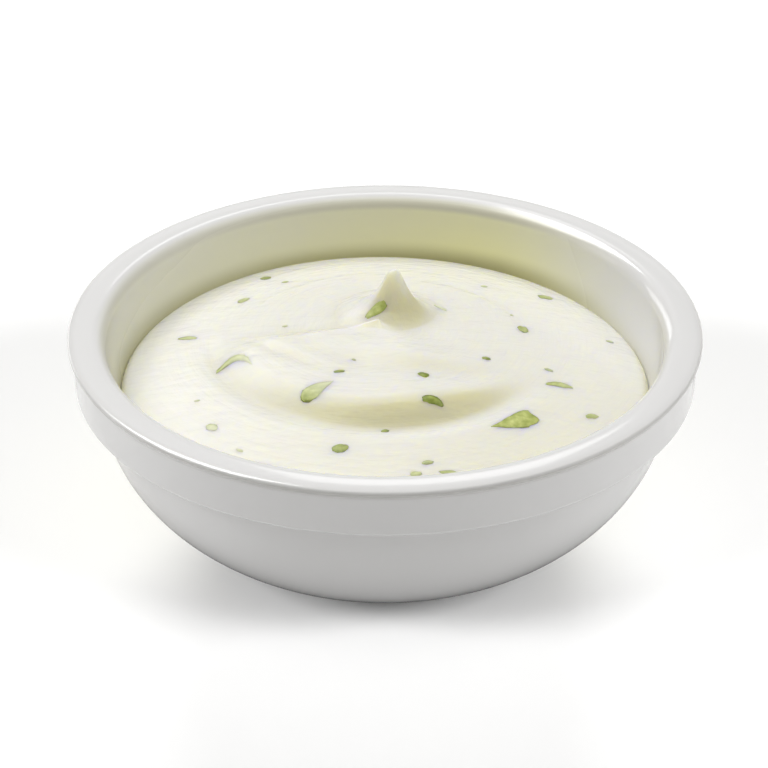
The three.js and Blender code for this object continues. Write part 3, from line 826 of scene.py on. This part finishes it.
def make_dip(cream):
    rings = dip_rings()
    bottom = (0, 0, BOWL_HEIGHT - FLOOR_DEPTH + GAP)
    tip = (*PEAK_AT, float(dip_height(np.array(PEAK_AT[0]), np.array(PEAK_AT[1]))))
    points = np.concatenate([[bottom], *rings, [tip]])
    last = len(points) - 1
    ahead = np.roll(np.arange(DIP_SEGMENTS), -1)
    faces = [(0, 1 + ahead[j], 1 + j) for j in range(DIP_SEGMENTS)]
    for i in range(len(rings) - 1):
        inner, outer = 1 + i * DIP_SEGMENTS, 1 + (i + 1) * DIP_SEGMENTS
        faces += [(inner + j, inner + ahead[j], outer + ahead[j], outer + j) for j in range(DIP_SEGMENTS)]
    top = last - DIP_SEGMENTS
    faces += [(top + j, top + ahead[j], last) for j in range(DIP_SEGMENTS)]
    dip = new_piece("swirled_dip", points, faces)
    dip.data.shade_smooth()
    dip.data.materials.append(cream)
    on_top = np.arange(len(points)) > UNDER_RINGS * DIP_SEGMENTS
    # how much painted shade each point gets; the hidden underside gets it in full
    rich = np.where(on_top, dip_shade_share(points[:, 0] * OFF_THE_EDGE, points[:, 1] * OFF_THE_EDGE), 1.0)
    dip.data.attributes.new("rich", "FLOAT", "POINT").data.foreach_set("value", rich.astype(np.float32))
    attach(dip, "root")
    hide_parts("dip")
    return dip


# ---------------------------------------------------------------- herb

def chopping_tree():
    """Lays a thin leaf scrap at each point, with that point's own length, width, turn, point and bend,
    with a ragged edge, draped on the dip."""
    tree, given, result = new_group(
        "Chopped herb", "GeometryNodeTree",
        [
            ("Places", "NodeSocketGeometry", None),
            ("Dip", "NodeSocketObject", None),
            ("Rise", "NodeSocketFloat", HERB_RISE),
            ("Sunk", "NodeSocketFloat", HERB_SUNK),
            ("Raggedness", "NodeSocketFloat", HERB_RAGGED),
            ("Seed", "NodeSocketFloat", HERB_SEED),
            ("Finish", "NodeSocketMaterial", None),
        ],
        [("Scraps", "NodeSocketGeometry")],
    )

    def attribute(name, kind="FLOAT"):
        node = add_node(tree, "GeometryNodeInputNamedAttribute", {"Name": name}, data_type=kind)
        return node.outputs["Attribute"]

    def stored(geometry, name, value, kind="FLOAT"):
        return add_node(tree, "GeometryNodeStoreNamedAttribute", {
            "Geometry": geometry, "Name": name, "Value": value,
        }, data_type=kind, domain="POINT").outputs[0]

    # a round pill at each point, which remembers where each of its own points was
    position = add_node(tree, "GeometryNodeInputPosition").outputs[0]
    pill = add_node(tree, "GeometryNodeMeshUVSphere", {
        "Segments": HERB_SEGMENTS, "Rings": HERB_RINGS, "Radius": 1.0,
    }).outputs["Mesh"]
    copies = add_node(tree, "GeometryNodeInstanceOnPoints", {
        "Points": given["Places"], "Instance": stored(pill, "pill", position, "FLOAT_VECTOR"),
    }).outputs[0]
    real = add_node(tree, "GeometryNodeRealizeInstances", {"Geometry": copies}).outputs[0]
    on_pill = attribute("pill", "FLOAT_VECTOR")
    place = vectors(tree, "SUBTRACT", position, on_pill)
    parts = separate(tree, on_pill)

    # its outline, seen from above
    noise_place = vectors(tree, "MULTIPLY", place, HERB_APART)
    noise = add_node(tree, "ShaderNodeTexNoise", {
        "Vector": vectors(tree, "ADD", noise_place, on_pill), "W": given["Seed"], "Scale": 1.6, "Detail": 2.0,
    }, noise_dimensions="4D").outputs["Fac"]
    ragged = product(tree, calculate(tree, "SUBTRACT", noise, 0.5), given["Raggedness"])
    swell = calculate(tree, "MULTIPLY_ADD", ragged, 2.0, 1.0)
    along = product(tree, parts["X"], swell)
    taper = calculate(tree, "SUBTRACT", 1.0, product(tree, attribute("taper"), parts["X"]))
    across = product(tree, parts["Y"], swell, taper)
    long_half = product(tree, attribute("length"), 0.5)
    wide_half = product(tree, attribute("width"), 0.5)
    bow = product(tree, along, along, attribute("bend"), long_half)
    flat = add_node(tree, "ShaderNodeCombineXYZ", {
        "X": product(tree, along, long_half),
        "Y": calculate(tree, "SUBTRACT", product(tree, across, wide_half), bow),
    }).outputs[0]
    turned = add_node(tree, "ShaderNodeVectorRotate", {
        "Vector": flat, "Angle": attribute("turn"),
    }, rotation_type="Z_AXIS").outputs[0]

    # dropped on the dip, and a little above and below its surface
    above = vectors(tree, "ADD", vectors(tree, "ADD", place, turned), (0, 0, DROPPED_FROM))
    surface = add_node(tree, "GeometryNodeObjectInfo", {"Object": given["Dip"]}).outputs["Geometry"]
    hit = add_node(tree, "GeometryNodeRaycast", {
        "Target Geometry": surface, "Source Position": above,
        "Ray Direction": (0, 0, -1), "Ray Length": DROPPED_BY,
    }).outputs["Hit Position"]
    over = calculate(tree, "MAXIMUM", parts["Z"], 0.0)
    under = calculate(tree, "MINIMUM", parts["Z"], 0.0)
    lens = product(tree, over, over)
    up = product(tree, lens, given["Rise"])
    down = product(tree, under, given["Sunk"])
    lift = add_node(tree, "ShaderNodeCombineXYZ", {"Z": calculate(tree, "ADD", up, down)}).outputs[0]
    scraps = add_node(tree, "GeometryNodeSetPosition", {
        "Geometry": real, "Position": vectors(tree, "ADD", hit, lift),
    }).outputs[0]

    # what its material reads
    veil = calculate(tree, "MULTIPLY_ADD", attribute("fade"), parts["X"], attribute("cover"), clamp=True)
    veiled = stored(scraps, "cover", veil)
    edged = stored(veiled, "edge", calculate(tree, "SUBTRACT", 1.0, lens))
    smooth = add_node(tree, "GeometryNodeSetShadeSmooth", {"Geometry": edged}).outputs[0]
    plain = add_node(tree, "GeometryNodeRealizeInstances", {"Geometry": smooth}).outputs[0]
    finished = add_node(tree, "GeometryNodeSetMaterial", {"Geometry": plain, "Material": given["Finish"]})
    tree.links.new(finished.outputs[0], result["Scraps"])
    return tree


def make_herb(leaf, dip):
    points = [(herb[0][0] * MM, herb[0][1] * MM, 0) for herb in HERBS]
    herb_piece = new_piece("chopped_herb", points)
    columns = {name: [herb[2 + i] for herb in HERBS] for i, name in enumerate(HERB_COLUMNS)}
    columns["turn"] = [turn * DEGREE for turn in columns["turn"]]
    columns["length"] = [herb[1][0] * MM for herb in HERBS]
    columns["width"] = [herb[1][1] * MM for herb in HERBS]
    for name, values in columns.items():
        herb_piece.data.attributes.new(name, "FLOAT", "POINT").data.foreach_set("value", values)
    use_tree(herb_piece, chopping_tree(), {
        "Dip": dip, "Rise": HERB_RISE, "Sunk": HERB_SUNK, "Raggedness": HERB_RAGGED, "Seed": HERB_SEED,
        "Finish": leaf,
    })
    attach(herb_piece, "root")
    return herb_piece


# ---------------------------------------------------------------- studio

def make_camera():
    camera = bpy.data.objects.new("camera", bpy.data.cameras.new("camera"))
    bpy.context.scene.collection.objects.link(camera)
    camera.location = CAMERA_AT
    camera.rotation_euler = (CAMERA_PITCH, 0, 0)
    camera.data.lens = LENS
    camera.data.sensor_width = SENSOR
    camera.data.clip_start = CAMERA_NEAREST
    bpy.context.scene.camera = camera


def softbox(name, azimuth, elevation, distance, size, radiance, lit, kind="both"):
    """A soft light facing the bowl that lights only the pieces in lit. Its azimuth, in degrees, is 0 behind
    the bowl and grows to the right. Its distance and size are in millimetres. A shade light only lights, and
    a sheen light only shows in the gloss."""
    data = bpy.data.lights.new(name, "AREA")
    data.shape = "RECTANGLE"
    data.size, data.size_y = size[0] * MM, size[1] * MM
    data.energy = radiance * math.pi * data.size * data.size_y
    light = bpy.data.objects.new(name, data)
    bpy.context.scene.collection.objects.link(light)
    a, e = azimuth * DEGREE, elevation * DEGREE
    outward = Vector((math.sin(a) * math.cos(e), math.cos(a) * math.cos(e), math.sin(e)))
    light.location = LIGHTS_AIM + outward * distance * MM
    light.rotation_euler = (-outward).to_track_quat("-Z", "Y").to_euler()
    light.light_linking.receiver_collection = lit
    light.visible_diffuse = kind != "sheen"
    light.visible_glossy = kind != "shade"


def lit_together(name, pieces):
    collection = bpy.data.collections.new(name)
    for piece in pieces:
        collection.objects.link(piece)
    return collection


def make_studio(bowl, dip, herb):
    """The bowl has lights of its own, and so has the floor, as where a table and its dish are lit apart."""
    corners = [(-1, -1), (1, -1), (1, 1), (-1, 1)]
    floor = new_piece("floor", [(x * FLOOR_HALF, y * FLOOR_HALF, 0) for x, y in corners], [(0, 1, 2, 3)])
    floor.data.materials.append(make_ground())
    on_dish = lit_together("lit as the dish", [bowl, dip, herb])
    on_bowl = lit_together("lit as the bowl", [bowl])
    on_food = lit_together("lit as the food", [dip, herb])
    on_floor = lit_together("lit as the floor", [floor])
    softbox("key light", -42, 50, 900, (1000, 460), 3.25, on_dish, "shade")
    softbox("top light", 0, 90, 900, (340, 340), 5.4, on_dish, "shade")
    softbox("right fill", 80, 45, 900, (600, 500), 2.0, on_dish, "shade")
    softbox("left fill", -100, 40, 900, (500, 400), 1.5, on_dish, "shade")
    softbox("front light", 180, 55, 900, (900, 500), 0.9, on_dish, "shade")
    softbox("left panel", -95, 18, 950, (700, 500), 0.2, on_dish)
    softbox("right panel", 100, 16, 950, (700, 500), 0.6, on_dish)
    softbox("window on the glaze", -62, 55, 900, (860, 400), 9.5, on_bowl, "sheen")
    softbox("front window on the glaze", 3, 41, 900, (200, 190), 2.6, on_bowl, "sheen")
    softbox("low window on the glaze", -36, 10, 900, (450, 300), 2.2, on_bowl, "sheen")
    softbox("left wall on the glaze", -97, 13, 900, (800, 420), 1.1, on_bowl, "sheen")
    softbox("backdrop on the glaze", 10, 14, 900, (900, 260), 0.4, on_bowl, "sheen")
    softbox("window on the dip", -34, 40, 900, (560, 360), 1.9, on_food, "sheen")
    softbox("ceiling on the dip", -40, 66, 900, (900, 460), 1.5, on_food, "sheen")
    softbox("left front floor light", -130, 38, 2500, (900, 500), 12.0, on_floor)
    softbox("right front floor light", 130, 38, 2500, (900, 500), 12.0, on_floor)
    softbox("left floor light", -115, 24, 2500, (1100, 500), 19.5, on_floor)
    softbox("right floor light", 115, 24, 2500, (1100, 500), 19.5, on_floor)
    softbox("back floor light", 0, 19, 2500, (1500, 500), 31.0, on_floor)
    world = bpy.data.worlds.new("studio")
    bpy.context.scene.world = world
    world.use_nodes = True
    world.node_tree.nodes["Background"].inputs["Color"].default_value = ROOM_LIGHT
    bpy.context.scene.view_settings.view_transform = "Standard"


# ---------------------------------------------------------------- scene

make_camera()
uneven_surface = uneven_group()
turned_bowl = make_bowl(make_glaze(uneven_surface))
swirled_dip = make_dip(make_cream(uneven_surface, swirl_marks_group()))
chopped_herb = make_herb(make_leaf(uneven_surface), swirled_dip)
make_studio(turned_bowl, swirled_dip, chopped_herb)
